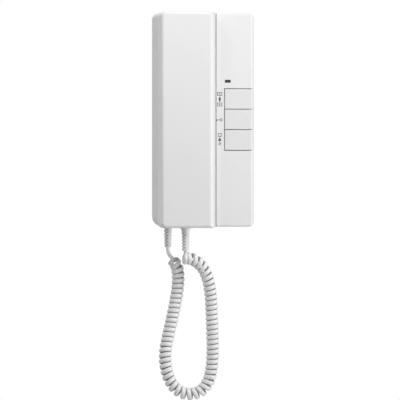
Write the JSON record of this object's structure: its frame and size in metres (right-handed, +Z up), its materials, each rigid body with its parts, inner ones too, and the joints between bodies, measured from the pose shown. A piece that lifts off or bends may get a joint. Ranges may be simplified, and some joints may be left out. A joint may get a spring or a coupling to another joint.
{
  "type": "wall intercom handset station",
  "caption": "White wall intercom station: flat base with side push buttons, a lift-off handset on its left and a curly cord hanging in a long loop.",
  "frame": {"origin": "middle of the wall bracket's back face, which lies on the wall", "axes": "+X to the right of a person facing the station, +Y into the wall, +Z up"},
  "size_m": [0.096, 0.0495, 0.3742],
  "materials": {
    "case_white": "fine satin moulded white",
    "handset_white": "smooth white with a soft sheen",
    "button_white": "satin, a touch greyer than the case",
    "cord_white": "soft white vinyl",
    "boot_rubber": "soft white rubber",
    "zinc_steel": "zinc-plated sheet",
    "screw_steel": "plated",
    "board_green": "solder-masked board",
    "dark_parts": "moulded black",
    "terminal_green": "moulded green",
    "terminal_brass": "plated brass",
    "speaker_steel": "dull pressed steel",
    "speaker_paper": "black paper",
    "led_red": "tinted clear lamp body",
    "window_smoke": "smoked window",
    "dome_rubber": "grey silicone",
    "mark_grey": "dark grey print",
    "capsule_black": "black capsule",
    "foam_grey": "foam",
    "weight_steel": "bare steel",
    "spring_steel": "spring wire"
  },
  "bodies": {
    "base": {"wall_bracket": "zinc_steel", "rear_case": "case_white", "front_case": "case_white", "case_screws": "screw_steel", "main_board": "board_green", "board_screws": "screw_steel", "board_components": "dark_parts", "terminal_block": "terminal_green", "terminal_screws": "terminal_brass", "chime_speaker": "speaker_steel", "speaker_cone": "speaker_paper", "speaker_screws": "screw_steel", "status_led": "led_red", "status_lens": "window_smoke", "button_carrier": "case_white", "talk_dome": "dome_rubber", "door_dome": "dome_rubber", "light_dome": "dome_rubber", "hook_switch": "dark_parts", "hook_spring": "spring_steel", "base_cord_boot": "boot_rubber", "base_lead": "cord_white", "function_marks": "mark_grey", "curly_cord": "cord_white"},
    "talk_key": {"talk_button": "button_white"},
    "door_key": {"door_button": "button_white"},
    "light_key": {"light_button": "button_white"},
    "hook": {"hook_plunger": "case_white"},
    "handset": {"handset_front": "handset_white", "handset_back": "handset_white", "handset_screws": "screw_steel", "receiver_gasket": "foam_grey", "receiver": "capsule_black", "microphone_holder": "dome_rubber", "microphone": "speaker_steel", "handset_weight": "weight_steel", "handset_cord_boot": "boot_rubber", "handset_lead": "cord_white"}
  },
  "joints": [
    {"name": "handset_lift", "type": "slide", "parent": "base", "child": "handset", "axis": [0, -1, 0], "range_m": [0, 0.06], "deforming": ["curly_cord"]},
    {"name": "talk_press", "type": "slide", "parent": "base", "child": "talk_key", "axis": [0, 1, 0], "range_m": [0, 0.0012], "stiffness_N_per_m": 900, "deforming": ["talk_dome"]},
    {"name": "door_press", "type": "slide", "parent": "base", "child": "door_key", "axis": [0, 1, 0], "range_m": [0, 0.0012], "stiffness_N_per_m": 900, "deforming": ["door_dome"]},
    {"name": "light_press", "type": "slide", "parent": "base", "child": "light_key", "axis": [0, 1, 0], "range_m": [0, 0.0012], "stiffness_N_per_m": 900, "deforming": ["light_dome"]},
    {"name": "hook_rise", "type": "slide", "parent": "base", "child": "hook", "axis": [0, -1, 0], "range_m": [0, 0.003], "deforming": ["hook_spring"]}
  ],
  "couplings": [
    {"joint": "hook_rise", "follows": "handset_lift", "ratio": 0.05}
  ]
}
